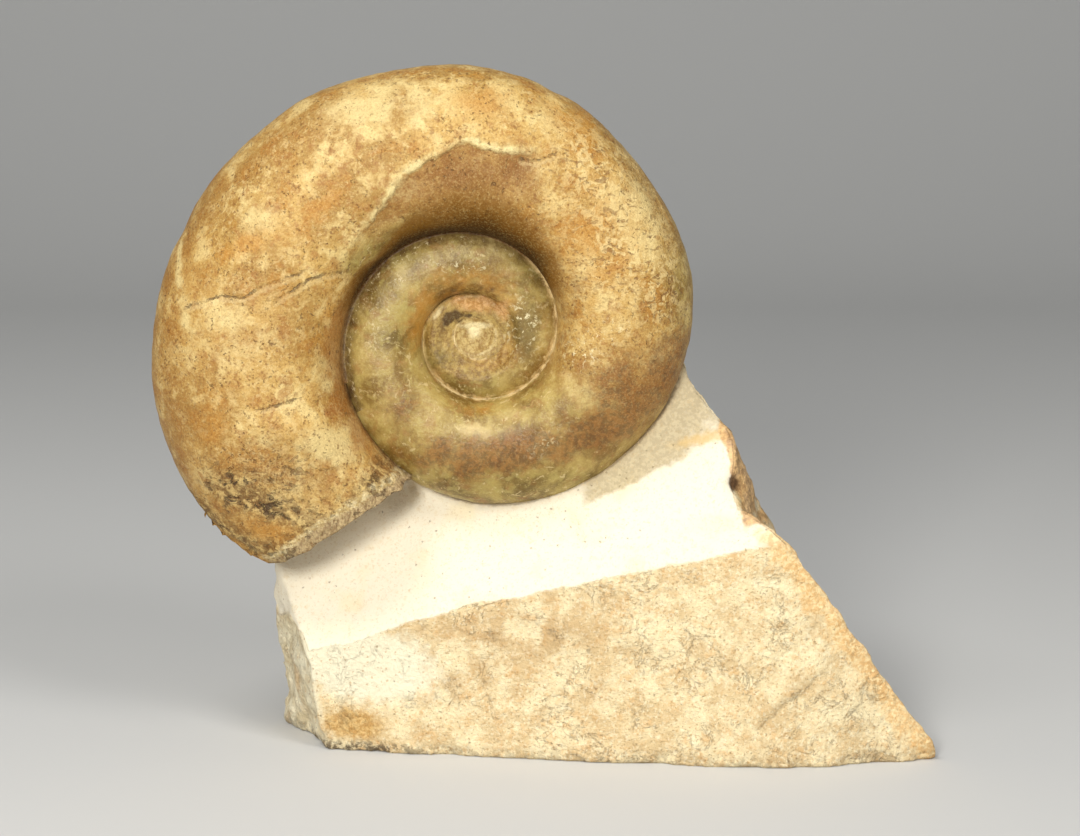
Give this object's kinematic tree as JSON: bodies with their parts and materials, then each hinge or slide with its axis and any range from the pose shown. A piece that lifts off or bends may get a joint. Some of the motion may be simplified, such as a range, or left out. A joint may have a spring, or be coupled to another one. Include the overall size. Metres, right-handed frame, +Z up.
{
  "type": "ammonite fossil",
  "caption": "Coiled fossil shell with a broken mouth, held upright by the wedge of limestone it was found in, which stands on a flat sawn-off underside.",
  "frame": {"origin": "under the middle of the specimen, on the surface it stands on", "axes": "+Z up; the coil lies in the upright XZ plane and its prepared side faces -Y; the broken mouth is on the -X side"},
  "size_m": [0.218, 0.0784, 0.1909],
  "materials": {
    "fossil_shell": "satin",
    "limestone": "matte"
  },
  "bodies": {
    "root": {"ammonite_shell": "fossil_shell", "limestone_matrix": "limestone"}
  },
  "joints": []
}
